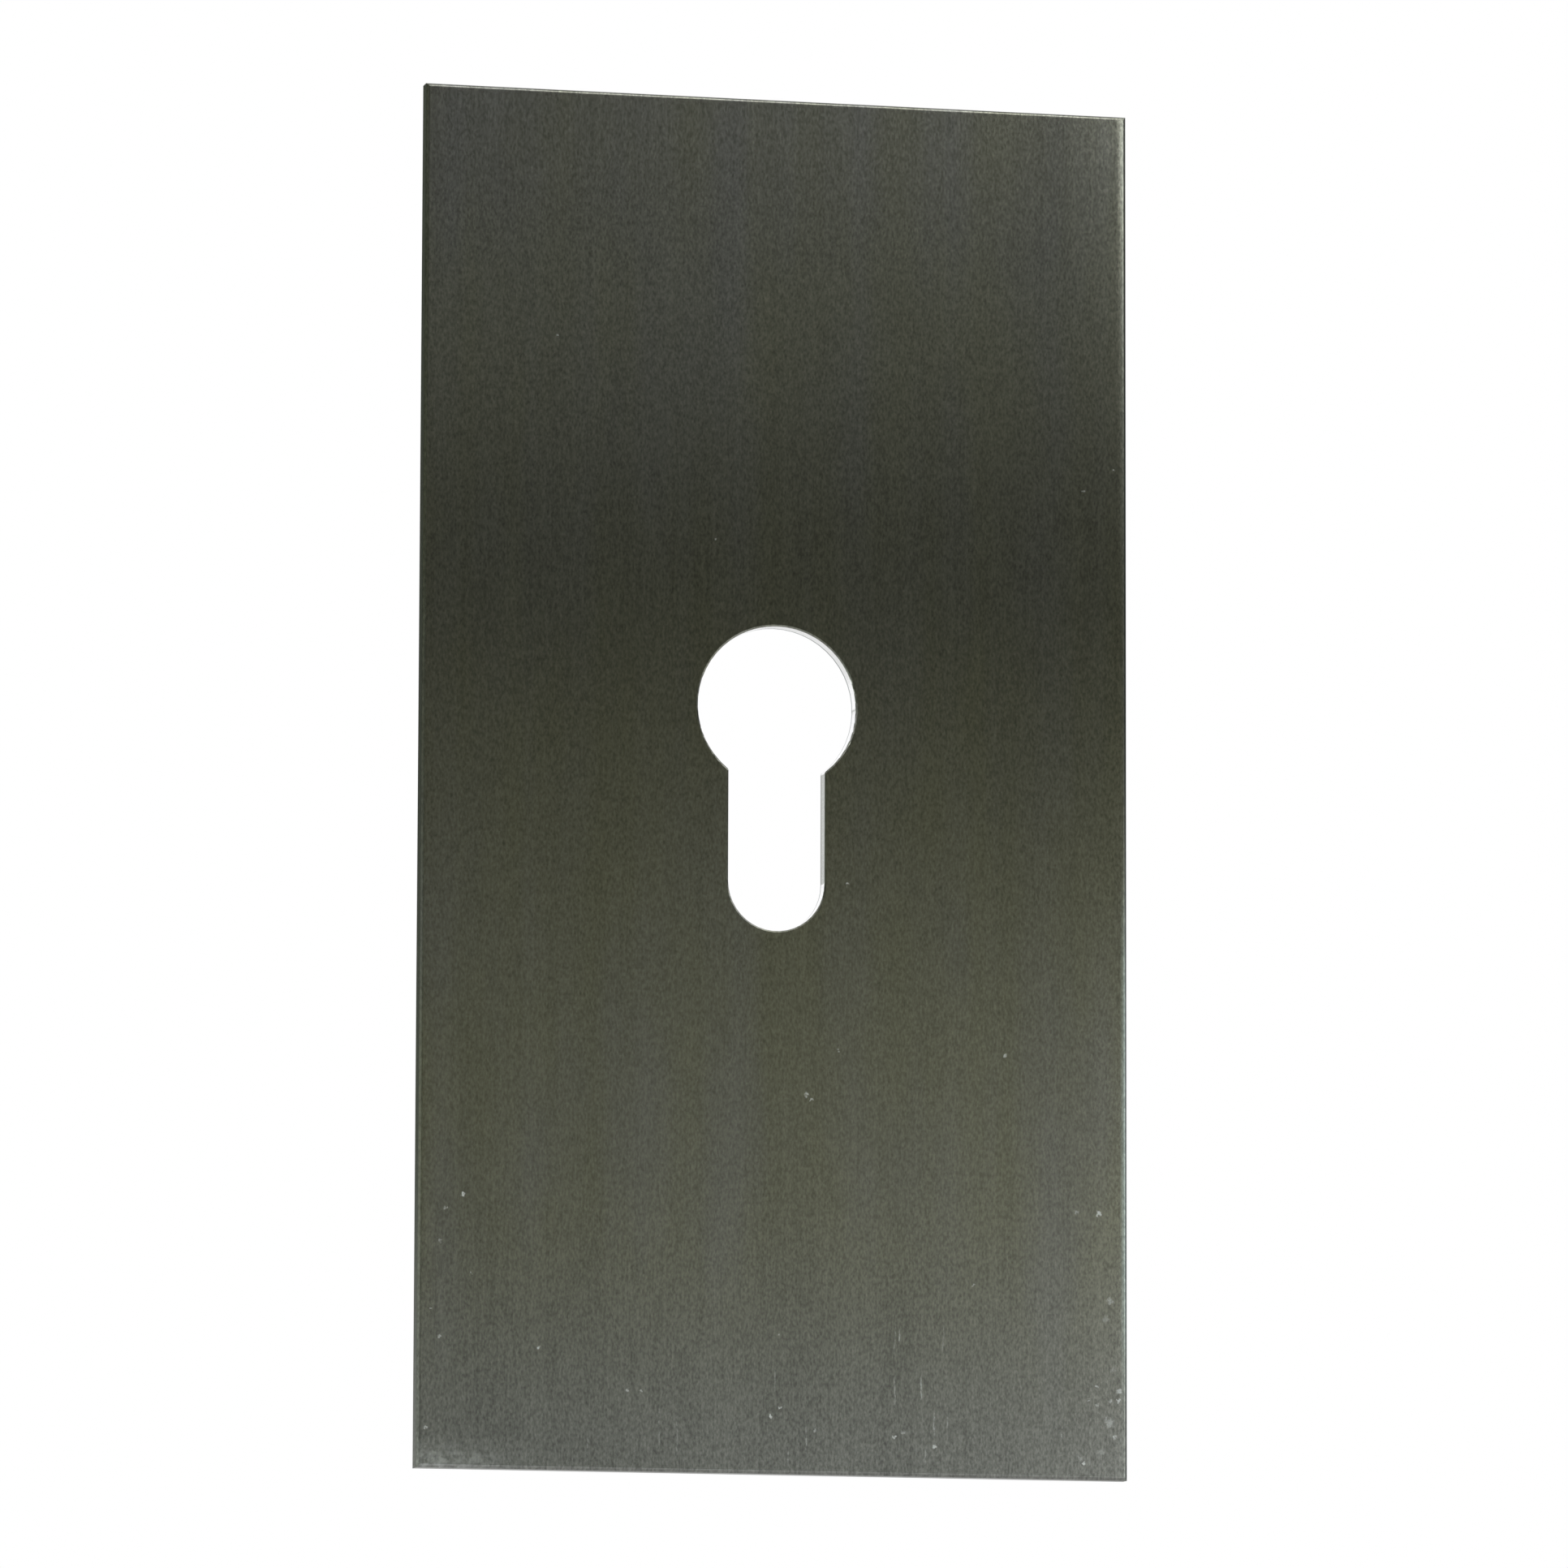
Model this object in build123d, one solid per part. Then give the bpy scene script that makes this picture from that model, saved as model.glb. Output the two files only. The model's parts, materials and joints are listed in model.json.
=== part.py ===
from build123d import *

import math
import os

# Keyhole escutcheon: one flat metal plate with a keyhole for a profile lock cylinder.
# It stands as it does on a door: +Z is up, the brushed face looks towards -Y, and the back
# lies on the plane Y = 0. The origin is on the axis of the cylinder's round head.

# The lock cylinder that passes through the plate, in millimetres.
cylinder_head_diameter = 17.0
cylinder_web_width = 10.0
cylinder_height = 33.0
cylinder_clearance = 0.45

# The plate, in millimetres.
plate_width = 80.0
plate_height = 153.0
plate_thickness = 2.0
axis_above_middle = 8.3

# Edges on the face side, eased by the brushing belt, in millimetres. The back is left as cut.
plate_rim_radius = 0.4
keyhole_rim_radius = 0.2
keyhole_shoulder_radius = 0.35

# The keyhole is the cylinder's outline, grown by the clearance.
head_radius = cylinder_head_diameter / 2 + cylinder_clearance
web_half_width = cylinder_web_width / 2 + cylinder_clearance
keyhole_height = cylinder_height + 2 * cylinder_clearance
web_end_centre = head_radius - keyhole_height + web_half_width
shoulder_angle = math.degrees(math.asin(web_half_width / head_radius))


def keyhole():
    """The opening: a round head with a round-ended web below it and eased shoulders."""
    with BuildSketch() as opening:
        with BuildLine():
            head = CenterArc((0, 0), head_radius, shoulder_angle - 90, 360 - 2 * shoulder_angle)
            web_end = CenterArc((0, web_end_centre), web_half_width, 180, 180)
            Line(head @ 1, web_end @ 0)
            Line(web_end @ 1, head @ 0)
        make_face()
        shoulders = opening.vertices().sort_by(Axis.Y)[-2:]
        fillet(shoulders, keyhole_shoulder_radius)
    return opening.sketch


def escutcheon_plate():
    """The plate, cut from sheet in one outline and eased along the edges of its face."""
    blank = Pos(0, -axis_above_middle) * Rectangle(plate_width, plate_height)
    with BuildPart() as plate:
        extrude(Plane.XZ * (blank - keyhole()), amount=plate_thickness)
        face = plate.faces().sort_by(Axis.Y)[0]
        plate_rim = face.outer_wire().edges()
        keyhole_rim = face.inner_wires()[0].edges()
        fillet(plate_rim, plate_rim_radius)
        fillet(keyhole_rim, keyhole_rim_radius)
    return plate.part


os.makedirs("parts", exist_ok=True)
export_step(escutcheon_plate(), "parts/escutcheon_plate.step")
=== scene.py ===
"""Keyhole escutcheon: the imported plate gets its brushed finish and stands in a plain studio.

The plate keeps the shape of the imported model. This file gives its face, its cut edges and its back
their metal, builds the studio around it and places the camera. Lengths are in metres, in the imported
model's frame: +Z is up, the brushed face looks towards -Y and the origin is on the axis of the
keyhole's round head.
"""

import json
import math
from typing import NamedTuple

import bmesh
import bpy
from bpy.props import FloatProperty, FloatVectorProperty, PointerProperty
from mathutils import Matrix, Vector

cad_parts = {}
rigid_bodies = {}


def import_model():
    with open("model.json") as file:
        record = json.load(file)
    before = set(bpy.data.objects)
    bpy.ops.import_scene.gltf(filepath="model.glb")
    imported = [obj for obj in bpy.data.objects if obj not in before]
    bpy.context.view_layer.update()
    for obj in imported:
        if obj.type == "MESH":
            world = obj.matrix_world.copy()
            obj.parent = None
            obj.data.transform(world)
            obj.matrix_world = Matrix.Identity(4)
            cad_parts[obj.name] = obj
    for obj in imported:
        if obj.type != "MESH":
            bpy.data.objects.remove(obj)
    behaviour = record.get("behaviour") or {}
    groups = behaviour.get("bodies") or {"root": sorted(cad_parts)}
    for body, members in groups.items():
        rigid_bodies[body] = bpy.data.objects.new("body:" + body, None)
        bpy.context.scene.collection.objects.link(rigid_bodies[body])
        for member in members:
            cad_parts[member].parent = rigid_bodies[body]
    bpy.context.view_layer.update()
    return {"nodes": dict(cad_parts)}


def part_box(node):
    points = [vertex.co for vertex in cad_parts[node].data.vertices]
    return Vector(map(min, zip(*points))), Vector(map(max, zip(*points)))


bl_info = {
    "name": "Keyhole Escutcheon",
    "version": (1, 0, 0),
    "blender": (4, 5, 0),
    "location": "3D View > Sidebar > Escutcheon",
    "description": "Finishes a brushed keyhole escutcheon and builds a studio around it",
    "category": "Object",
}

for leftover in list(bpy.data.objects):
    bpy.data.objects.remove(leftover)

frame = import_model()
PLATE_NODE = "escutcheon_plate"
PLATE_LOW, PLATE_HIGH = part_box(PLATE_NODE)
PLATE_MIDDLE = (PLATE_LOW + PLATE_HIGH) / 2
MM = 0.001
QUARTER_TURN = math.radians(90)
WHITE = (1, 1, 1, 1)

# Places of the colour sockets in a Mix node, after those for numbers and vectors.
MIX_FIRST = 6
MIX_SECOND = 7
MIX_RESULT = 2


class Fade(NamedTuple):
    """Where a change starts and where it is complete."""

    start: float
    full: float


class BrushMark(NamedTuple):
    """One kind of brush mark: its width, its length and how far it changes the metal's tone."""

    width: float
    length: float
    tone: float


class Grain(NamedTuple):
    """A grain of grit in the face: its place from the keyhole's axis, radius and brightness."""

    across: float
    up: float
    radius: float
    brightness: float


class Scratch(NamedTuple):
    """A short scratch along the brushing: its middle from that axis, length and brightness."""

    across: float
    up: float
    length: float
    brightness: float


class Card(NamedTuple):
    """An upright card of the stage: its size, its middle and how far it is turned from facing -Y."""

    width: float
    height: float
    middle: Vector
    turn: float


class Lamp(NamedTuple):
    """A rectangular soft lamp: its size, its place and its turn."""

    width: float
    height: float
    place: Vector
    turn: tuple


# The solid's edges, which the finish follows. A wall starts within the eased rim, at a share of it.
PLATE_RIM = 0.4 * MM
KEYHOLE_RIM = 0.2 * MM
KEYHOLE_REACH = 30 * MM
RIM_TO_WALL = Fade(0.4, 1.0)
# The break-out zone at the back of the keyhole's wall is torn and duller. Its dark colour is also a
# painted shadow line where the plate meets what lies behind it.
BREAKOUT_SHADE = Fade(PLATE_HIGH.y - 0.4 * MM, PLATE_HIGH.y - 0.25 * MM)
BACK_SKIN = 0.01 * MM

# Brush marks of the face, and how far they grow or fade towards its foot and in the haze there.
HAIRLINE = BrushMark(0.21 * MM, 0.42 * MM, 1.35)
BRUSH_LINE = BrushMark(0.23 * MM, 6.0 * MM, 0.18)
STREAK = BrushMark(0.40 * MM, 45.0 * MM, 0.12)
BAND = BrushMark(6.0 * MM, 300.0 * MM, 0.13)
BETWEEN_PLANES = (0, 0.37, 0)
FOOT = Fade(20 * MM, PLATE_LOW.z)
HAZE = Fade(-45 * MM, PLATE_LOW.z)
FOOT_HAIRLINES = -0.3
HAZE_HAIRLINES = 0.35
HAZE_LINES = 0.8
FOOT_BANDS = 2.0
LINE_HEIGHT = 0.002 * MM

# The tangent runs across the brushing, a little off X, so never along the normal of a cut edge.
TANGENT_SKEW = 0.01

# The thin film on the face, the grain of the cut edges and the streaks of the back.
FILM_BLOTCH = (9 * MM, 9 * MM, 30 * MM)
FILM = Fade(0.35, 0.7)
EDGE_GRAIN = (0.15 * MM, 4 * MM, 0.15 * MM)
EDGE_GRAIN_TONE = 0.5
KEYHOLE_GRAIN_TONE = 0.15
BACK_STREAK_TONE = 0.3

# Roughness of what isn't brushed, and what the brushing adds.
LINE_ROUGHNESS = 0.03
STREAK_ROUGHNESS = 0.02
MARK_ROUGHNESS = 0.6
EDGE_ROUGHNESS = 0.3
KEYHOLE_ROUGHNESS = 0.22
BACK_ROUGHNESS = 0.4
BACK_FILM_ROUGHNESS = 0.1

# The face's right edge: where a painted highlight lies along it, standing in for the light that its
# rolled edge mirrors, and how it rolls over. Each roll has its reach, in widths of the edge roll, and
# its slope at the edge.
HIGHLIGHT_MIDDLE = -47 * MM
HIGHLIGHT_ALONG = Fade(33 * MM, 13 * MM)
HIGHLIGHT_ACROSS = Fade(0.9 * MM, 0.4 * MM)
HIGHLIGHT_LEAST = 0.12
HIGHLIGHT_MOST = 0.9
EDGE_ROLLS = ((1, 0.18), (6, 0.05))

# Grit. A grain fades at these shares of its radius.
GRAIN_EDGE = Fade(0.9, 0.2)
GRAIN_COVER = 0.8
RAGGED_SIZE = 0.30 * MM
RAGGED_SHIFT = 0.7 * MM

# Scratches. One fades at these shares of its length, and where the hairlines break it up.
SCRATCH_SIDE = Fade(0.12 * MM, 0.03 * MM)
SCRATCH_END = Fade(0.5, 0.2)
SCRATCH_WAVE = 2.5 * MM
SCRATCH_SWAY = 0.3 * MM
SCRATCH_BREAKS = Fade(0.35, 0.6)
SCRATCH_LEAST = 0.2
SCRATCH_MOST = 0.8

# Dust in the face's lower left corner.
DUST_UP = Fade(PLATE_LOW.z + 4 * MM, PLATE_LOW.z + 0.6 * MM)
DUST_ACROSS = Fade(PLATE_LOW.x + 15 * MM, PLATE_LOW.x + 2 * MM)
DUST_BLOTCH = (0.8 * MM, 0.8 * MM, 0.5 * MM)
DUST_EDGE = Fade(0.35, 0.65)
DUST_THIN = 0.03
DUST_THICK = 0.16

# Grains and scratches from left to right, in millimetres.
GRIT = [Grain(*row) for row in (
    (-39.0, -80.5, 0.26, 0.35), (-38.5, -67.5, 0.24, 0.30), (-37.5, -70.5, 0.26, 0.35),
    (-37.5, -60.0, 0.28, 0.25), (-37.0, -56.5, 0.24, 0.30), (-35.0, -55.0, 0.34, 0.80),
    (-34.0, -63.5, 0.22, 0.30), (-26.5, -71.5, 0.30, 0.60), (-25.0, 40.5, 0.26, 0.28),
    (-16.5, -76.0, 0.34, 0.40), (-15.0, -76.0, 0.24, 0.35), (-7.0, 18.5, 0.20, 0.30),
    (-0.5, -78.5, 0.34, 0.75), (0.5, -77.5, 0.26, 0.45), (0.5, -69.5, 0.24, 0.25),
    (3.5, -43.0, 0.36, 0.50), (4.0, -43.5, 0.34, 0.50), (4.5, -80.0, 0.26, 0.35),
    (7.0, -38.0, 0.22, 0.35), (8.0, -19.5, 0.30, 0.55), (13.5, -80.5, 0.26, 0.60),
    (14.5, -80.0, 0.30, 0.30), (18.0, -81.5, 0.30, 0.65), (22.5, -63.5, 0.22, 0.35),
    (26.0, -38.0, 0.28, 0.60), (32.5, -80.0, 0.22, 0.25), (34.2, -55.2, 0.36, 0.35),
    (34.5, -82.5, 0.40, 0.25), (35.0, -83.0, 0.32, 0.80), (35.0, 25.5, 0.24, 0.35),
    (35.5, -76.0, 0.28, 0.40), (36.5, -76.5, 0.26, 0.30), (36.5, -74.5, 0.28, 0.45),
    (36.7, -55.3, 0.42, 0.80), (37.0, -81.8, 0.60, 0.14), (37.5, -78.0, 0.28, 0.35),
    (37.5, -67.0, 0.55, 0.20), (38.0, -78.5, 0.75, 0.30), (38.0, -76.0, 0.30, 0.35),
    (38.0, -65.0, 0.55, 0.30), (38.4, -72.6, 0.50, 0.12), (38.5, -80.0, 0.28, 0.60),
    (38.5, 28.0, 0.22, 0.30), (39.0, -76.0, 0.36, 0.60), (39.0, -75.0, 0.40, 0.55),
)]
SCRATCHES = [Scratch(*row) for row in (
    (-21.0, -82.0, 3.0, 0.15), (-13.0, -80.0, 6.0, 0.12), (-11.0, -81.0, 5.0, 0.12),
    (0.0, -74.5, 3.0, 0.15), (1.5, -83.0, 2.0, 0.20), (3.5, -81.0, 3.5, 0.20),
    (13.5, -75.5, 4.0, 0.20), (13.5, -70.0, 4.0, 0.15), (14.0, -69.5, 2.0, 0.30),
    (16.5, -75.0, 3.5, 0.30), (17.0, -82.5, 2.5, 0.15), (18.0, -79.0, 3.0, 0.35),
    (19.0, -69.5, 3.5, 0.15), (19.5, -78.5, 2.0, 0.20),
)]

# The stage: its floor, the wall behind the camera and the cards on either side.
FLOOR_SIDE = 12.0
FLOOR_ROUGHNESS = 0.9
FRONT_TURN = math.radians(13)
FRONT_MIDDLE = Matrix.Rotation(FRONT_TURN, 3, "Z") @ Vector((0, -1.5, 0))
FRONT_WALL = Card(5.0, 1.0, FRONT_MIDDLE, FRONT_TURN)
LEFT_CARD = Card(1.8, 0.5, Vector((-0.35, 0.1, -0.05)), QUARTER_TURN)
RIGHT_CARD = Card(3.6, 0.8, Vector((1.7, 1.0, 0.1)), -QUARTER_TURN)

# Heights on them. The wall's change of colour and a band's edge are measured from the band's middle.
WALL_CHANGE = Fade(-0.05, 0.05)
WALL_BAND_EDGE = Fade(0.0, 0.045)
WALL_SKIRTING = Fade(0.08, 0.0)
WALL_TOP = Fade(0.315, 0.37)
LEFT_FOOT = Fade(0.08, -0.07)
RIGHT_BAND_HEIGHT = 0.30
RIGHT_BAND_EDGE = Fade(0.08, 0.15)

# The lamps. The key lamp looks at the plate's middle, and the others stand upright on the right.
KEY_PLACE = Vector((0.5, -0.7, 1.1))
KEY_TURN = (PLATE_MIDDLE - KEY_PLACE).to_track_quat("-Z", "Y").to_euler()
KEY_LAMP = Lamp(0.8, 0.6, KEY_PLACE, KEY_TURN)
FOOT_LAMP = Lamp(0.8, 0.4, Vector((0.625, -0.93, -0.23)), (QUARTER_TURN, math.radians(25), 0))
HEAD_LAMP = Lamp(0.8, 0.25, Vector((0.90, -0.93, 0.405)), (QUARTER_TURN, 0, 0))
EDGE_LAMP = Lamp(1.0, 0.31, Vector((1.2, -0.7, 0.0)), (QUARTER_TURN, 0, math.radians(60)))

# The camera's film gate in millimetres, as Blender counts it, and the point that it looks at.
SENSOR_WIDTH = 36.0
AIM = Vector((PLATE_MIDDLE.x + 0.8 * MM, PLATE_LOW.y, PLATE_MIDDLE.z - 0.3 * MM))


class BrushedFinish(bpy.types.PropertyGroup):
    """Colours and grain of the plate's metal."""

    face_colour: FloatVectorProperty(
        name="Face", description="Metal of the brushed face",
        subtype="COLOR", min=0, max=1, default=(0.152, 0.156, 0.123))
    film_colour: FloatVectorProperty(
        name="Film", description="Metal of the face where a thin film lies on it",
        subtype="COLOR", min=0, max=1, default=(0.151, 0.155, 0.144))
    grit_colour: FloatVectorProperty(
        name="Grit", description="Grit, dust and short bright scratches on the face",
        subtype="COLOR", min=0, max=1, default=(0.80, 0.84, 0.84))
    edge_colour: FloatVectorProperty(
        name="Outer edge", description="Metal of the plate's cut outer edges",
        subtype="COLOR", min=0, max=1, default=(0.105, 0.108, 0.098))
    dull_tint: FloatVectorProperty(
        name="Dull edge", description="Tint of glancing reflections in the outer edges, above the haze",
        subtype="COLOR", min=0, max=1, default=(0.43, 0.46, 0.40))
    # Painted highlight: a paler, cooler colour along the face's right edge that stands in for the light
    # its rolled edge mirrors.
    edge_highlight_colour: FloatVectorProperty(
        name="Edge highlight", description="Painted highlight along the face's right edge",
        subtype="COLOR", min=0, max=1, default=(0.24, 0.28, 0.265))
    keyhole_colour: FloatVectorProperty(
        name="Keyhole wall", description="Bright sheared metal inside the keyhole",
        subtype="COLOR", min=0, max=1, default=(0.97, 0.97, 0.98))
    # Painted shade: a dark line on the torn zone at the back of the keyhole's wall, where the plate
    # meets what lies behind it.
    breakout_shade_colour: FloatVectorProperty(
        name="Break-out shade", description="Torn metal at the back of the keyhole's wall, darkened as a painted shadow line",
        subtype="COLOR", min=0, max=1, default=(0.26, 0.29, 0.29))
    back_colour: FloatVectorProperty(
        name="Back", description="Metal of the back, left as rolled",
        subtype="COLOR", min=0, max=1, default=(0.20, 0.20, 0.185))
    roughness: FloatProperty(
        name="Roughness", description="Mean roughness of the brushed face",
        subtype="FACTOR", min=0, max=1, default=0.20)
    anisotropy: FloatProperty(
        name="Brush pull", description="How far reflections are drawn out across the brush lines",
        subtype="FACTOR", min=0, max=1, default=0.95)
    edge_roll: FloatProperty(
        name="Edge roll", description="Width of the face's rolled-over right edge",
        unit="LENGTH", min=0, precision=5, default=1.2 * MM)


class Studio(bpy.types.PropertyGroup):
    """Floor, light and camera around the plate."""

    floor_drop: FloatProperty(
        name="Floor drop", description="Depth of the floor below the plate's middle",
        unit="LENGTH", default=0.30)
    floor_colour: FloatVectorProperty(
        name="Floor", description="Colour of the floor",
        subtype="COLOR", min=0, max=1, default=(0.90, 0.90, 0.89))
    fill: FloatProperty(
        name="Fill", description="Strength of the soft light from all around", min=0, default=0.8)
    key_power: FloatProperty(
        name="Key lamp", description="Power of the soft lamp above",
        unit="POWER", min=0, default=6.0)
    foot_lamp_power: FloatProperty(
        name="Foot lamp", description="Power of the low lamp that the plate's foot mirrors",
        unit="POWER", min=0, default=1.28)
    head_lamp_power: FloatProperty(
        name="Head lamp", description="Power of the high lamp that the plate's head mirrors",
        unit="POWER", min=0, default=3.9)
    edge_lamp_power: FloatProperty(
        name="Edge lamp", description="Power of the lamp that the plate's right edge mirrors",
        unit="POWER", min=0, default=1.75)
    top_wall_colour: FloatVectorProperty(
        name="Wall top", description="Colour of the mirrored wall's upper edge",
        subtype="COLOR", min=0, max=1, default=(0.080, 0.081, 0.0725))
    high_wall_colour: FloatVectorProperty(
        name="High wall", description="Colour of the mirrored wall above its band",
        subtype="COLOR", min=0, max=1, default=(0.3136, 0.3185, 0.2842))
    low_wall_colour: FloatVectorProperty(
        name="Low wall", description="Colour of the mirrored wall below its band",
        subtype="COLOR", min=0, max=1, default=(0.325, 0.325, 0.235))
    skirting_colour: FloatVectorProperty(
        name="Skirting", description="Colour of the mirrored wall's foot",
        subtype="COLOR", min=0, max=1, default=(0.50, 0.53, 0.515))
    band_colour: FloatVectorProperty(
        name="Wall band", description="Colour of the dark band along that wall",
        subtype="COLOR", min=0, max=1, default=(0.02, 0.02, 0.012))
    band_height: FloatProperty(
        name="Band height", description="Height of the dark band above the keyhole",
        unit="LENGTH", default=0.25)
    left_card_colour: FloatVectorProperty(
        name="Left card", description="Colour of the card that the plate's left edge mirrors",
        subtype="COLOR", min=0, max=1, default=(0.22, 0.235, 0.195))
    left_card_foot_colour: FloatVectorProperty(
        name="Left card's foot", description="Colour of the foot of that card",
        subtype="COLOR", min=0, max=1, default=(0.85, 0.89, 0.82))
    right_card_colour: FloatVectorProperty(
        name="Right card", description="Colour of the card that the plate's right edge mirrors",
        subtype="COLOR", min=0, max=1, default=(0.28, 0.295, 0.295))
    right_band_colour: FloatVectorProperty(
        name="Right band", description="Colour of the dark band along that card",
        subtype="COLOR", min=0, max=1, default=(0.05, 0.055, 0.06))
    camera_azimuth: FloatProperty(
        name="Azimuth", description="Turn of the camera around the plate",
        subtype="ANGLE", default=math.radians(-13.32))
    camera_elevation: FloatProperty(
        name="Elevation", description="Height angle of the camera",
        subtype="ANGLE", default=math.radians(-7.58))
    camera_roll: FloatProperty(
        name="Roll", description="Tilt of the camera about its own axis",
        subtype="ANGLE", default=math.radians(0.18))
    camera_distance: FloatProperty(
        name="Distance", description="Distance from the camera to the point it looks at",
        unit="LENGTH", min=0.1, default=1.165)
    camera_lens: FloatProperty(
        name="Lens", description="Focal length of the camera",
        unit="CAMERA", min=1, default=242.3)


class NodeBench:
    """Adds nodes to one node tree, sets their values and joins their sockets."""

    def __init__(self, tree):
        self.tree = tree
        tree.nodes.clear()

    def feed(self, socket, value):
        """Joins a socket to another one, or sets its value."""
        if isinstance(value, bpy.types.NodeSocket):
            self.tree.links.new(value, socket)
        else:
            socket.default_value = value

    def add(self, kind, inputs=None, **settings):
        """A new node with its settings made and its inputs fed."""
        node = self.tree.nodes.new(kind)
        for name, value in settings.items():
            setattr(node, name, value)
        for name, value in (inputs or {}).items():
            self.feed(node.inputs[name], value)
        return node

    def math(self, operation, *values, clamp=False):
        """A sum on numbers."""
        node = self.add("ShaderNodeMath", operation=operation, use_clamp=clamp)
        for socket, value in zip(node.inputs, values):
            self.feed(socket, value)
        return node.outputs["Value"]

    def vector(self, operation, *values):
        """A sum on places. A length or a distance comes out as a number."""
        node = self.add("ShaderNodeVectorMath", operation=operation)
        for socket, value in zip(node.inputs, values):
            self.feed(socket, value)
        return node.outputs["Value" if operation in ("LENGTH", "DISTANCE") else "Vector"]

    def scale(self, colour, amount):
        """A colour made lighter or darker by an amount."""
        node = self.add("ShaderNodeVectorMath", {"Scale": amount}, operation="SCALE")
        self.feed(node.inputs[0], colour)
        return node.outputs["Vector"]

    def step(self, value, fade, low=0.0, high=1.0):
        """A smooth step from low to high as the value goes from the fade's start to its full."""
        node = self.add("ShaderNodeMapRange", {
            "Value": value, "From Min": fade.start, "From Max": fade.full,
            "To Min": low, "To Max": high}, interpolation_type="SMOOTHSTEP")
        return node.outputs["Result"]

    def tint(self, share, first, second):
        """The first colour, going over to the second as the share goes from 0 to 1."""
        node = self.add("ShaderNodeMix", {"Factor": share}, data_type="RGBA")
        self.feed(node.inputs[MIX_FIRST], first)
        self.feed(node.inputs[MIX_SECOND], second)
        return node.outputs[MIX_RESULT]

    def blend(self, share, first, second):
        """The first number, going over to the second in the same way."""
        node = self.add("ShaderNodeMix", {"Factor": share, "A": first, "B": second}, data_type="FLOAT")
        return node.outputs["Result"]

    def noise(self, point, size=1.0, detail=2.0):
        """The outputs of soft noise whose blotches are about that size."""
        inputs = {"Vector": point, "Scale": 1 / size, "Detail": detail}
        return self.add("ShaderNodeTexNoise", inputs).outputs


class Zones(NamedTuple):
    """Sockets that say where on the plate a point lies.

    Point, across and up are its place, and inset is its distance from the right edge. The others go
    from 0 outside their zone to 1 inside it.
    """

    point: bpy.types.NodeSocket
    across: bpy.types.NodeSocket
    up: bpy.types.NodeSocket
    inset: bpy.types.NodeSocket
    foot: bpy.types.NodeSocket
    haze: bpy.types.NodeSocket
    in_keyhole: bpy.types.NodeSocket
    wall: bpy.types.NodeSocket
    # Where the painted shadow line lies at the back of the keyhole's wall.
    breakout_shade: bpy.types.NodeSocket
    back: bpy.types.NodeSocket


class Brushing(NamedTuple):
    """Sockets with the noise of the four kinds of brush mark, from 0 to 1."""

    hairline: bpy.types.NodeSocket
    line: bpy.types.NodeSocket
    streak: bpy.types.NodeSocket
    band: bpy.types.NodeSocket


def rgba(colour):
    """A solid colour as a socket takes it."""
    return (*colour, 1.0)


def new_material(name):
    """A material with no nodes yet, and the bench that adds them."""
    material = bpy.data.materials.new(name)
    material.use_nodes = True
    return material, NodeBench(material.node_tree)


def find_zones(bench):
    """Tells the face, the cut edges, the keyhole and the back apart."""
    point = bench.add("ShaderNodeTexCoord").outputs["Object"]
    place = bench.add("ShaderNodeSeparateXYZ", {"Vector": point}).outputs
    in_keyhole = bench.math("LESS_THAN", bench.vector("LENGTH", point), KEYHOLE_REACH)
    depth = bench.math("SUBTRACT", place["Y"], PLATE_LOW.y)
    rim = bench.blend(in_keyhole, PLATE_RIM, KEYHOLE_RIM)
    return Zones(
        point=point,
        across=place["X"],
        up=place["Z"],
        inset=bench.math("SUBTRACT", PLATE_HIGH.x, place["X"]),
        foot=bench.step(place["Z"], FOOT),
        haze=bench.step(place["Z"], HAZE),
        in_keyhole=in_keyhole,
        wall=bench.step(bench.math("DIVIDE", depth, rim), RIM_TO_WALL),
        breakout_shade=bench.step(place["Y"], BREAKOUT_SHADE),
        back=bench.math("GREATER_THAN", place["Y"], PLATE_HIGH.y - BACK_SKIN),
    )


def brush_marks(bench, point, mark):
    """Noise drawn out along the brushing, read between its flat whole-numbered planes."""
    stretch = (1 / mark.width, 0, 1 / mark.length)
    return bench.noise(bench.vector("MULTIPLY_ADD", point, stretch, BETWEEN_PLANES))["Fac"]


def clouds(bench, point, size):
    """Soft noise with blotches of about that size, from 0 to 1."""
    spread = tuple(1 / length for length in size)
    return bench.noise(bench.vector("MULTIPLY", point, spread))["Fac"]


def vary(bench, value, noise, amount):
    """The value, moved up and down by noise from 0 to 1."""
    return bench.math("MULTIPLY_ADD", bench.math("SUBTRACT", noise, 0.5), amount, value)


def brush_tone(bench, zones, brushing):
    """How much lighter or darker the brushing makes the face."""
    fine = bench.math("MULTIPLY_ADD", zones.haze, HAZE_HAIRLINES, 1.0)
    fine = bench.math("MULTIPLY_ADD", zones.foot, FOOT_HAIRLINES, fine)
    coarse = bench.math("MULTIPLY_ADD", zones.haze, HAZE_LINES, 1.0)
    broad = bench.math("MULTIPLY_ADD", zones.foot, FOOT_BANDS, 1.0)
    tone = 1.0
    for mark, noise, strength in (
            (HAIRLINE, brushing.hairline, fine), (BRUSH_LINE, brushing.line, coarse),
            (STREAK, brushing.streak, coarse), (BAND, brushing.band, broad)):
        tone = vary(bench, tone, noise, bench.math("MULTIPLY", strength, mark.tone))
    return tone


def thin_film(bench, zones, brushing):
    """How thick the uneven film lies: half of it in blotches, half along the bands."""
    blotches = clouds(bench, zones.point, FILM_BLOTCH)
    return bench.math("MULTIPLY_ADD", blotches, 0.5, bench.math("MULTIPLY", brushing.band, 0.5))


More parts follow.
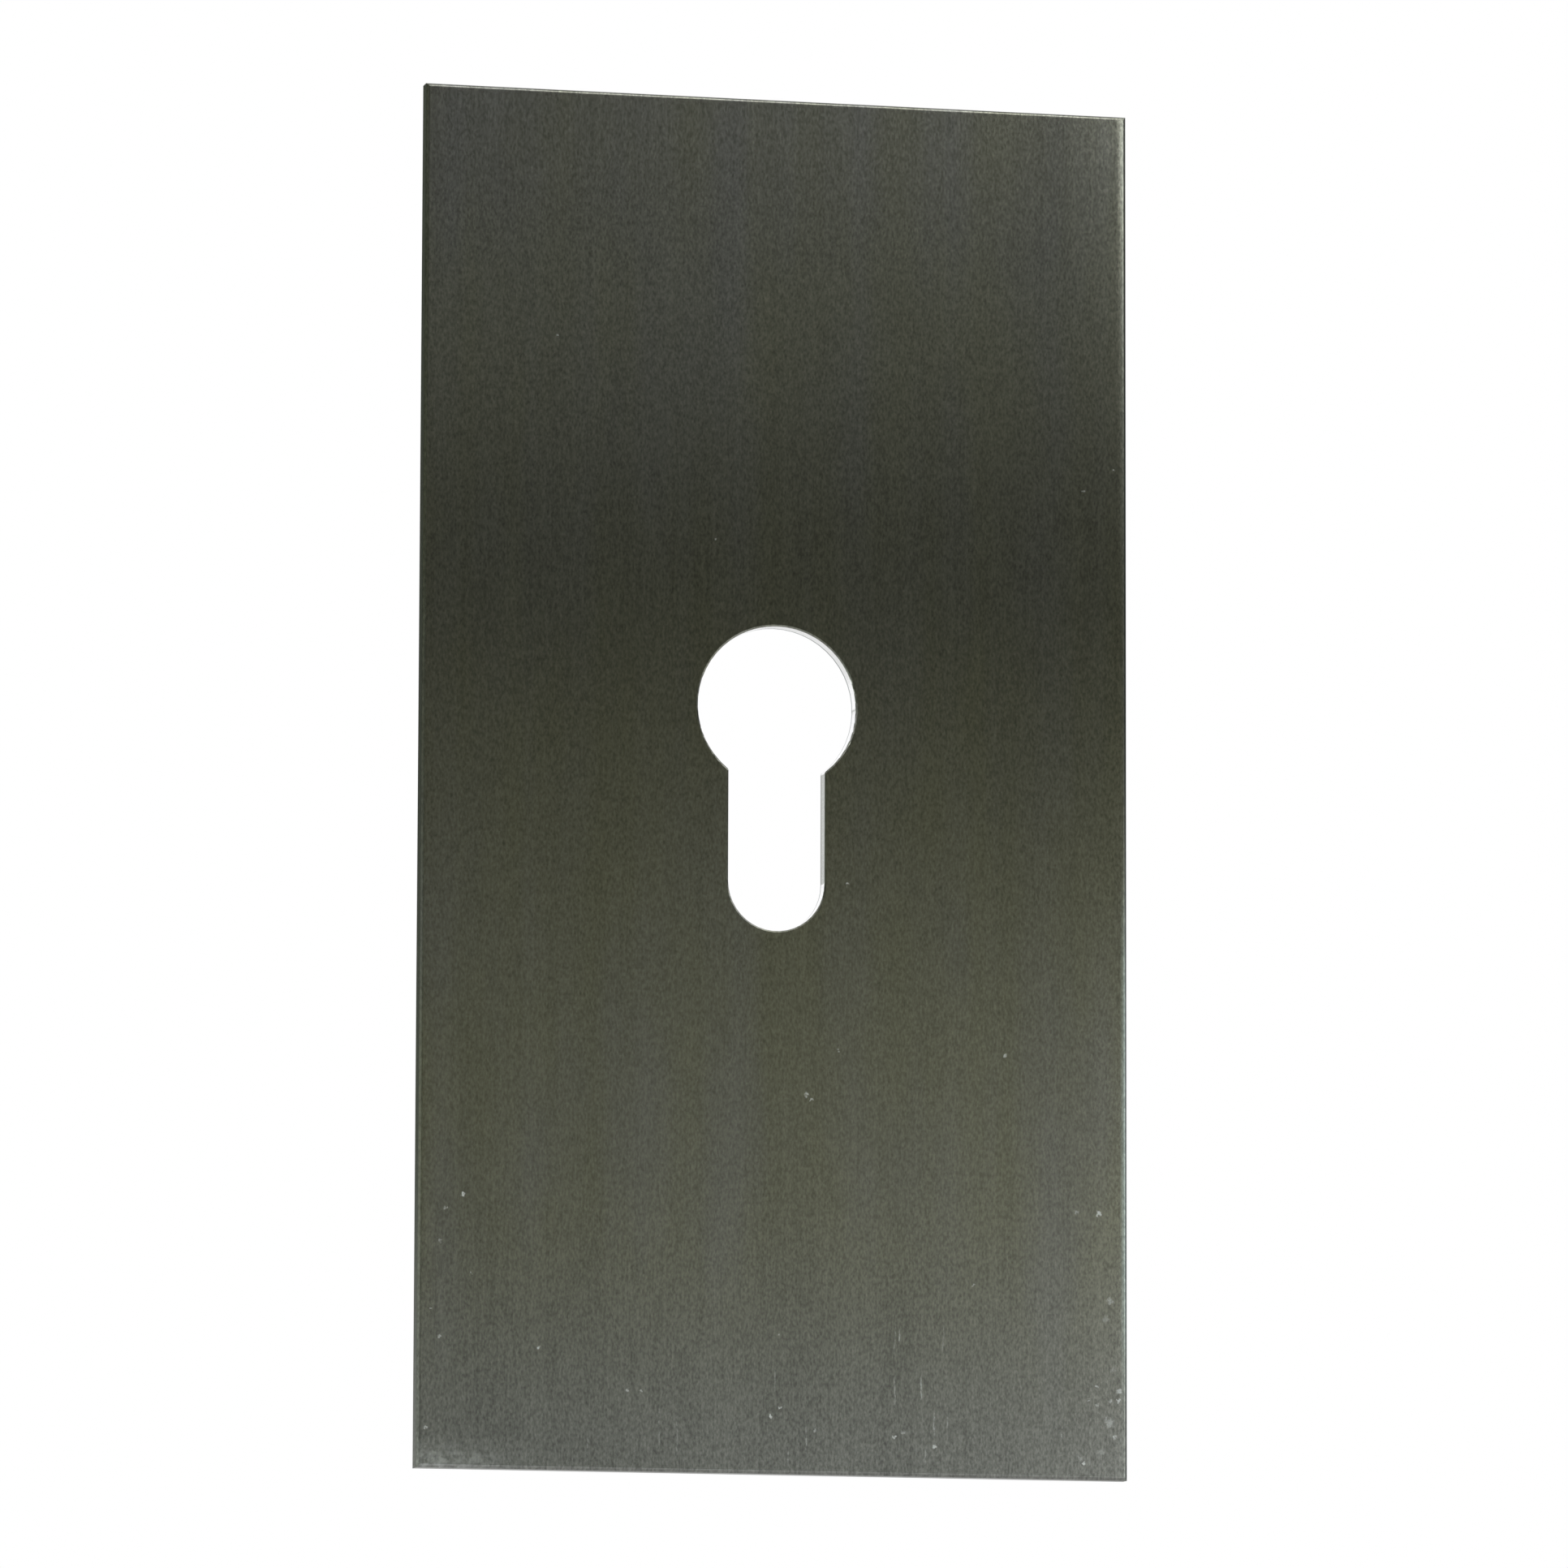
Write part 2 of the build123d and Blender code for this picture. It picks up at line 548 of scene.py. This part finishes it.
def grit(bench, zones):
    """The grains, with ragged outlines."""
    ragged = bench.noise(zones.point, RAGGED_SIZE, detail=1.0)["Color"]
    shift = bench.vector("SUBTRACT", ragged, (0.5, 0.5, 0.5))
    shift = bench.vector("MULTIPLY", shift, (RAGGED_SHIFT, RAGGED_SHIFT, RAGGED_SHIFT))
    flat = bench.vector("MULTIPLY", bench.vector("ADD", zones.point, shift), (1, 0, 1))
    marks = 0.0
    for grain in GRIT:
        away = bench.vector("DISTANCE", flat, (grain.across * MM, 0, grain.up * MM))
        edge = Fade(*(share * grain.radius * MM for share in GRAIN_EDGE))
        mark = bench.step(away, edge, high=GRAIN_COVER * grain.brightness)
        marks = bench.math("MAXIMUM", marks, mark)
    return marks


def scratches(bench, zones, brushing):
    """The scratches: thin, a little wavy, broken up by the hairlines and fading at both ends."""
    wave = bench.add(
        "ShaderNodeTexNoise", {"W": zones.up, "Scale": 1 / SCRATCH_WAVE}, noise_dimensions="1D")
    across = vary(bench, zones.across, wave.outputs["Fac"], SCRATCH_SWAY)
    marks = 0.0
    for scratch in SCRATCHES:
        beside = bench.math("ABSOLUTE", bench.math("SUBTRACT", across, scratch.across * MM))
        along = bench.math("ABSOLUTE", bench.math("SUBTRACT", zones.up, scratch.up * MM))
        end = Fade(*(share * scratch.length * MM for share in SCRATCH_END))
        fade = bench.step(along, end, high=scratch.brightness)
        mark = bench.math("MULTIPLY", bench.step(beside, SCRATCH_SIDE), fade)
        marks = bench.math("MAXIMUM", marks, mark)
    breaks = bench.step(brushing.hairline, SCRATCH_BREAKS, SCRATCH_LEAST, SCRATCH_MOST)
    return bench.math("MULTIPLY", marks, breaks)


def dusty_corner(bench, zones):
    """How thick pale dust lies in the face's lower left corner, in soft blotches."""
    low = bench.step(zones.up, DUST_UP)
    left = bench.step(zones.across, DUST_ACROSS)
    blotches = bench.step(clouds(bench, zones.point, DUST_BLOTCH), DUST_EDGE, DUST_THIN, DUST_THICK)
    return bench.math("MULTIPLY", bench.math("MULTIPLY", low, left), blotches)


def wear_marks(bench, zones, brushing):
    """How far grit, scratches and dust cover the face."""
    marks = bench.math("MAXIMUM", grit(bench, zones), scratches(bench, zones, brushing))
    return bench.math("MAXIMUM", marks, dusty_corner(bench, zones))


def painted_edge_highlight(bench, zones):
    """How far a painted highlight covers the face along its right edge, most of all above the foot. It
    stands in for the light that the rolled edge mirrors.
    """
    off_middle = bench.math("ABSOLUTE", bench.math("SUBTRACT", zones.up, HIGHLIGHT_MIDDLE))
    along = bench.step(off_middle, HIGHLIGHT_ALONG, HIGHLIGHT_LEAST, HIGHLIGHT_MOST)
    return bench.math("MULTIPLY", along, bench.step(zones.inset, HIGHLIGHT_ACROSS))


def rolled_edge(bench, zones, width):
    """How far the face sinks towards its right edge, in metres: a sharp roll and a shallow one."""
    sink = 0.0
    for widths, slope in EDGE_ROLLS:
        reach = widths * width
        near = bench.math("MULTIPLY_ADD", zones.inset, -1 / reach, 1.0, clamp=True)
        near = bench.math("MULTIPLY", near, near)
        sink = bench.math("MULTIPLY_ADD", near, -slope * reach / 2, sink)
    return sink


def paint_face(bench, zones, brushing, film, marks, finish):
    """Colour of the brushed face."""
    filmed = bench.math("MAXIMUM", bench.step(film, FILM), zones.haze)
    face = bench.tint(filmed, rgba(finish.face_colour), rgba(finish.film_colour))
    # Painted highlight along the right edge, standing in for the light that the rolled edge mirrors.
    face = bench.tint(painted_edge_highlight(bench, zones), face, rgba(finish.edge_highlight_colour))
    face = bench.scale(face, brush_tone(bench, zones, brushing))
    return bench.tint(marks, face, rgba(finish.grit_colour))


def paint_edges(bench, zones, finish):
    """Colour of the cut edges: grained outside, sheared bright in the keyhole, and darker on the torn
    zone at its back, which is partly duller metal and partly a painted shadow line.
    """
    sheared = bench.tint(zones.breakout_shade, rgba(finish.keyhole_colour), rgba(finish.breakout_shade_colour))
    cut = bench.tint(zones.in_keyhole, rgba(finish.edge_colour), sheared)
    grain = clouds(bench, zones.point, EDGE_GRAIN)
    grain_tone = bench.blend(zones.in_keyhole, EDGE_GRAIN_TONE, KEYHOLE_GRAIN_TONE)
    return bench.scale(cut, vary(bench, 1.0, grain, grain_tone))


def paint_back(bench, brushing, film, finish):
    """Colour of the rolled back."""
    rolled = bench.tint(film, rgba(finish.back_colour), rgba(finish.face_colour))
    return bench.scale(rolled, vary(bench, 1.0, brushing.streak, BACK_STREAK_TONE))


def metal_roughness(bench, zones, brushing, film, marks, finish):
    """Roughness of the face, the cut edges and the back."""
    rough = vary(bench, finish.roughness, brushing.line, LINE_ROUGHNESS)
    rough = vary(bench, rough, brushing.streak, STREAK_ROUGHNESS)
    rough = bench.blend(marks, rough, MARK_ROUGHNESS)
    cut = bench.blend(zones.in_keyhole, EDGE_ROUGHNESS, KEYHOLE_ROUGHNESS)
    rolled = vary(bench, BACK_ROUGHNESS, film, BACK_FILM_ROUGHNESS)
    return bench.blend(zones.back, bench.blend(zones.wall, rough, cut), rolled)


def metal_relief(bench, zones, brushing, finish):
    """Normal with the brush lines in it, and on the face the roll of its right edge."""
    face_only = bench.math("SUBTRACT", 1.0, bench.math("MAXIMUM", zones.wall, zones.back))
    height = bench.math("MULTIPLY", rolled_edge(bench, zones, finish.edge_roll), face_only)
    height = bench.math("MULTIPLY_ADD", brushing.line, LINE_HEIGHT, height)
    bump = bench.add("ShaderNodeBump", {"Height": height, "Strength": 1.0, "Distance": 1.0})
    return bump.outputs["Normal"]


def glancing_tint(bench, zones, finish):
    """Tint of glancing reflections: dull in the outer edges above the haze, white elsewhere."""
    outer_edge = bench.math("SUBTRACT", zones.wall, zones.in_keyhole, clamp=True)
    dull = bench.math("MULTIPLY", outer_edge, bench.math("SUBTRACT", 1.0, zones.haze))
    return bench.tint(dull, WHITE, rgba(finish.dull_tint))


def brushed_metal(finish):
    """One metal for the whole plate: brushed face, cut edges, bright keyhole wall and rolled back."""
    material, bench = new_material("brushed_metal")
    zones = find_zones(bench)
    brushing = Brushing(*(
        brush_marks(bench, zones.point, mark) for mark in (HAIRLINE, BRUSH_LINE, STREAK, BAND)))
    film = thin_film(bench, zones, brushing)
    marks = wear_marks(bench, zones, brushing)

    face = paint_face(bench, zones, brushing, film, marks, finish)
    front = bench.tint(zones.wall, face, paint_edges(bench, zones, finish))
    across_brushing = bench.add("ShaderNodeCombineXYZ", {"X": 1.0, "Y": TANGENT_SKEW})
    metal = bench.add("ShaderNodeBsdfPrincipled", {
        "Base Color": bench.tint(zones.back, front, paint_back(bench, brushing, film, finish)),
        "Metallic": 1.0,
        "Roughness": metal_roughness(bench, zones, brushing, film, marks, finish),
        "Specular Tint": glancing_tint(bench, zones, finish),
        "Anisotropic": finish.anisotropy,
        "Tangent": across_brushing.outputs["Vector"],
        "Normal": metal_relief(bench, zones, brushing, finish),
    })
    bench.add("ShaderNodeOutputMaterial", {"Surface": metal.outputs["BSDF"]})
    return material


def matt_floor(colour):
    """A plain matt surface."""
    material, bench = new_material("pale_floor")
    matt = bench.add(
        "ShaderNodeBsdfPrincipled", {"Base Color": rgba(colour), "Roughness": FLOOR_ROUGHNESS})
    bench.add("ShaderNodeOutputMaterial", {"Surface": matt.outputs["BSDF"]})
    return material


def height_on_card(bench):
    """Height of a point above the keyhole's axis."""
    point = bench.add("ShaderNodeTexCoord").outputs["Object"]
    return bench.add("ShaderNodeSeparateXYZ", {"Vector": point}).outputs["Z"]


def cover_matt(bench, paint):
    """Covers a card with matt paint."""
    matt = bench.add("ShaderNodeBsdfDiffuse", {"Color": paint})
    bench.add("ShaderNodeOutputMaterial", {"Surface": matt.outputs["BSDF"]})


def banded_wall(studio):
    """Wall paint with a dark band along it, a paler skirting and a darker top."""
    material, bench = new_material("banded_wall")
    height = height_on_card(bench)
    above_band = bench.math("SUBTRACT", height, studio.band_height)
    off_band = bench.math("ABSOLUTE", above_band)
    paint = bench.tint(
        bench.step(above_band, WALL_CHANGE),
        rgba(studio.low_wall_colour), rgba(studio.high_wall_colour))
    paint = bench.tint(bench.step(height, WALL_SKIRTING), paint, rgba(studio.skirting_colour))
    paint = bench.tint(bench.step(height, WALL_TOP), paint, rgba(studio.top_wall_colour))
    paint = bench.tint(bench.step(off_band, WALL_BAND_EDGE), rgba(studio.band_colour), paint)
    cover_matt(bench, paint)
    return material


def graded_card(studio):
    """The left card's paint, which goes over to another colour at its foot."""
    material, bench = new_material("left_card")
    at_foot = bench.step(height_on_card(bench), LEFT_FOOT)
    cover_matt(bench, bench.tint(
        at_foot, rgba(studio.left_card_colour), rgba(studio.left_card_foot_colour)))
    return material


def banded_card(studio):
    """The right card's paint, with a broad dark band along it."""
    material, bench = new_material("right_card")
    off_band = bench.math(
        "ABSOLUTE", bench.math("SUBTRACT", height_on_card(bench), RIGHT_BAND_HEIGHT))
    cover_matt(bench, bench.tint(
        bench.step(off_band, RIGHT_BAND_EDGE),
        rgba(studio.right_band_colour), rgba(studio.right_card_colour)))
    return material


def stage_card(name, width, height, place, material):
    """A flat card of the stage. It lies level before it is put in its place."""
    shape = bmesh.new()
    bmesh.ops.create_grid(shape, x_segments=1, y_segments=1, size=0.5)
    bmesh.ops.scale(shape, vec=(width, height, 1), verts=shape.verts)
    bmesh.ops.transform(shape, matrix=place, verts=shape.verts)
    mesh = bpy.data.meshes.new(name)
    shape.to_mesh(mesh)
    shape.free()
    mesh.materials.append(material)
    card = bpy.data.objects.new(name, mesh)
    bpy.context.scene.collection.objects.link(card)
    return card


def lay_floor(studio):
    """A wide pale floor below the plate."""
    drop = Matrix.Translation((0, 0, PLATE_MIDDLE.z - studio.floor_drop))
    stage_card("studio_floor", FLOOR_SIDE, FLOOR_SIDE, drop, matt_floor(studio.floor_colour))


def raise_walls(studio):
    """A wall behind the camera and a card on either side. Only the metal shows them."""
    upright = Matrix.Rotation(QUARTER_TURN, 4, "X")
    for name, card, material in (
            ("studio_front_wall", FRONT_WALL, banded_wall(studio)),
            ("studio_left_card", LEFT_CARD, graded_card(studio)),
            ("studio_right_card", RIGHT_CARD, banded_card(studio))):
        turned = Matrix.Rotation(card.turn, 4, "Z") @ upright
        place = Matrix.Translation(card.middle) @ turned
        raised = stage_card(name, card.width, card.height, place, material)
        raised.visible_camera = False
        raised.visible_shadow = False
        raised.visible_diffuse = False


def light_world(studio):
    """A white surround for what is seen and mirrored, and an even fill for the rest."""
    world = bpy.data.worlds.new("white_surround")
    world.use_nodes = True
    bench = NodeBench(world.node_tree)
    path = bench.add("ShaderNodeLightPath").outputs
    seen = bench.math("MAXIMUM", path["Is Camera Ray"], path["Is Glossy Ray"])
    seen = bench.math("MAXIMUM", seen, path["Is Transmission Ray"])
    strength = bench.blend(seen, studio.fill, 1.0)
    surround = bench.add("ShaderNodeBackground", {"Color": WHITE, "Strength": strength})
    bench.add("ShaderNodeOutputWorld", {"Surface": surround.outputs["Background"]})
    bpy.context.scene.world = world


def soft_lamp(name, lamp, power):
    """A rectangular soft lamp that the camera doesn't see."""
    light = bpy.data.lights.new(name, "AREA")
    light.shape = "RECTANGLE"
    light.size = lamp.width
    light.size_y = lamp.height
    light.energy = power
    holder = bpy.data.objects.new(name, light)
    holder.location = lamp.place
    holder.rotation_euler = lamp.turn
    holder.visible_camera = False
    bpy.context.scene.collection.objects.link(holder)


def hang_lamps(studio):
    """A large lamp above, and three on the right for the foot, the head and the right edge."""
    soft_lamp("key_lamp", KEY_LAMP, studio.key_power)
    soft_lamp("foot_lamp", FOOT_LAMP, studio.foot_lamp_power)
    soft_lamp("head_lamp", HEAD_LAMP, studio.head_lamp_power)
    soft_lamp("edge_lamp", EDGE_LAMP, studio.edge_lamp_power)


def place_camera(studio):
    """A camera that circles the aim: turned round it, then tilted, then rolled."""
    lens = bpy.data.cameras.new("camera")
    lens.lens = studio.camera_lens
    lens.sensor_width = SENSOR_WIDTH
    camera = bpy.data.objects.new("camera", lens)
    turn = Matrix.Rotation(studio.camera_azimuth, 4, "Z")
    turn = turn @ Matrix.Rotation(QUARTER_TURN - studio.camera_elevation, 4, "X")
    turn = turn @ Matrix.Rotation(studio.camera_roll, 4, "Z")
    back_off = Matrix.Translation((0, 0, studio.camera_distance))
    camera.matrix_world = Matrix.Translation(AIM) @ turn @ back_off
    bpy.context.scene.collection.objects.link(camera)
    bpy.context.scene.camera = camera


class ESCUTCHEON_OT_finish_plate(bpy.types.Operator):
    """Give the plate its brushed metal"""

    bl_idname = "escutcheon.finish_plate"
    bl_label = "Finish Plate"

    def execute(self, context):
        plate = frame["nodes"][PLATE_NODE]
        if not plate.material_slots:
            raise RuntimeError("the packed plate has no material slot to finish")
        metal = brushed_metal(context.scene.escutcheon_finish)
        for slot in plate.material_slots:
            slot.material = metal
        return {"FINISHED"}


class ESCUTCHEON_OT_build_stage(bpy.types.Operator):
    """Build the floor, the light and the camera"""

    bl_idname = "escutcheon.build_stage"
    bl_label = "Build Stage"

    def execute(self, context):
        studio = context.scene.escutcheon_studio
        lay_floor(studio)
        raise_walls(studio)
        light_world(studio)
        hang_lamps(studio)
        place_camera(studio)
        context.scene.view_settings.view_transform = "Standard"
        return {"FINISHED"}


class ESCUTCHEON_PT_sidebar(bpy.types.Panel):
    """Lists the steps and their settings"""

    bl_label = "Keyhole Escutcheon"
    bl_idname = "ESCUTCHEON_PT_sidebar"
    bl_space_type = "VIEW_3D"
    bl_region_type = "UI"
    bl_category = "Escutcheon"

    def draw(self, context):
        steps = ((ESCUTCHEON_OT_finish_plate, context.scene.escutcheon_finish),
                 (ESCUTCHEON_OT_build_stage, context.scene.escutcheon_studio))
        for step, settings in steps:
            box = self.layout.box()
            for name in settings.bl_rna.properties.keys():
                if name not in ("rna_type", "name"):
                    box.prop(settings, name)
            box.operator(step.bl_idname)


CLASSES = (
    BrushedFinish,
    Studio,
    ESCUTCHEON_OT_finish_plate,
    ESCUTCHEON_OT_build_stage,
    ESCUTCHEON_PT_sidebar,
)


def register():
    for cls in CLASSES:
        bpy.utils.register_class(cls)
    bpy.types.Scene.escutcheon_finish = PointerProperty(type=BrushedFinish)
    bpy.types.Scene.escutcheon_studio = PointerProperty(type=Studio)


def unregister():
    del bpy.types.Scene.escutcheon_studio
    del bpy.types.Scene.escutcheon_finish
    for cls in reversed(CLASSES):
        bpy.utils.unregister_class(cls)


def main():
    """Registers the add-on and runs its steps."""
    register()
    bpy.ops.escutcheon.finish_plate()
    bpy.ops.escutcheon.build_stage()


if __name__ == "__main__":
    main()
